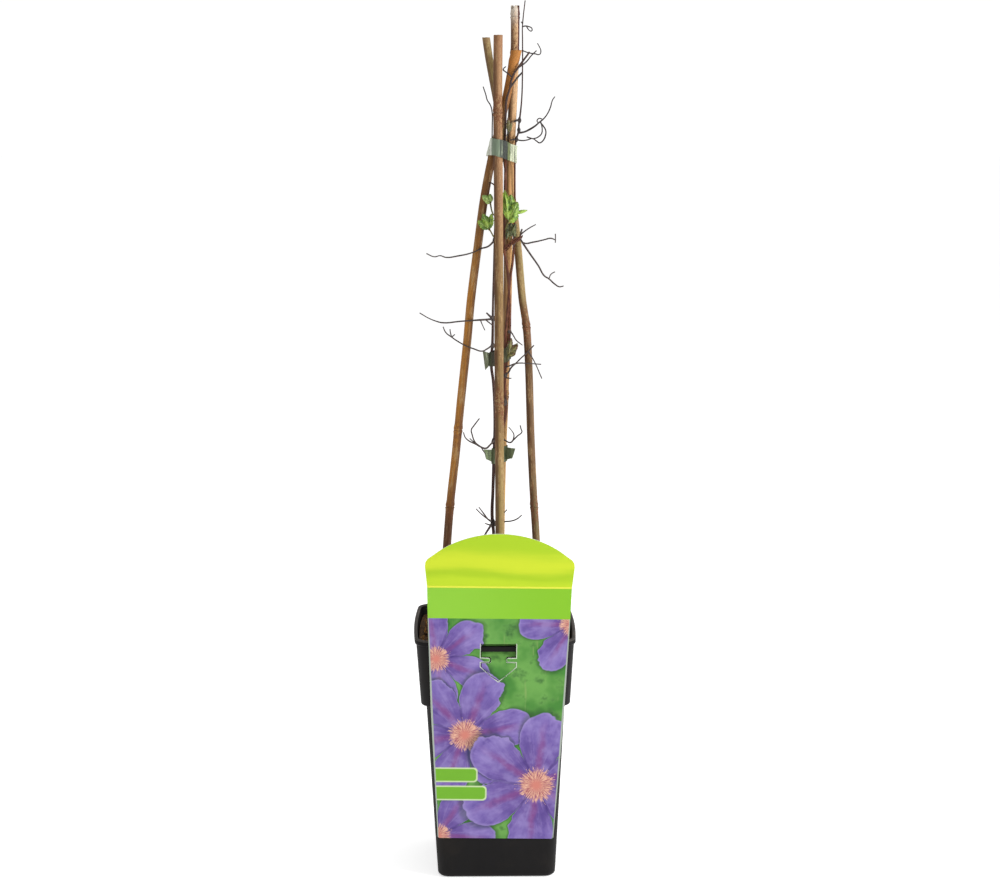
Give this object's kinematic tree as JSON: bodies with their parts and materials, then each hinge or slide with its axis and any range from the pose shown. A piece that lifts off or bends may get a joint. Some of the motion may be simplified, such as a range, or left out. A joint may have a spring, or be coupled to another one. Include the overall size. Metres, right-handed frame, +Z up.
{
  "type": "potted climbing plant",
  "caption": "Young climbing plant with dry twining stems and small fresh leaves, tied to a cane tepee in a tall tapered square pot with a printed label hung on its rim.",
  "frame": {"origin": "centre of the pot's flat underside", "axes": "+Z up along the canes, +Y away from the label, +X to the right when the label faces the viewer"},
  "size_m": [0.123, 0.1318, 0.6566],
  "materials": {
    "pot_plastic": "thin black nursery-pot plastic, satin",
    "potting_soil": "dark fibrous potting compost",
    "bamboo_front": "weathered bamboo cane, satin skin",
    "bamboo_back": "pale bamboo cane, satin skin",
    "bamboo_left": "brown bamboo cane, satin skin",
    "bamboo_right": "dark bamboo cane, satin skin",
    "tie_tape_pale": "thin pale green tie tape",
    "tie_tape_dark": "weathered olive tie tape",
    "tie_tape_green": "dark green tie tape",
    "stem_bark": "dry brown bark",
    "dry_stalk": "dry grey-brown stalk",
    "leaf_green": "fresh soft leaf",
    "leaf_dark": "dark olive leaf",
    "leaf_dry": "dry olive-brown leaf",
    "label_print": "glossy printed plastic card"
  },
  "bodies": {
    "root": {"pot": "pot_plastic", "soil": "potting_soil", "cane_front": "bamboo_front", "cane_back": "bamboo_back", "cane_left": "bamboo_left", "cane_right": "bamboo_right", "tie_top": "tie_tape_pale", "tie_middle": "tie_tape_dark", "tie_low": "tie_tape_green", "stem_left": "stem_bark", "stem_right": "stem_bark", "stalk_top_left": "dry_stalk", "leaves_left_upper": "leaf_green", "leaves_left_lower": "leaf_green", "leaves_right": "leaf_green", "leaves_dark": "leaf_dark", "remnants_top": "leaf_dry", "remnants_middle": "leaf_dry", "label": "label_print"}
  },
  "joints": []
}
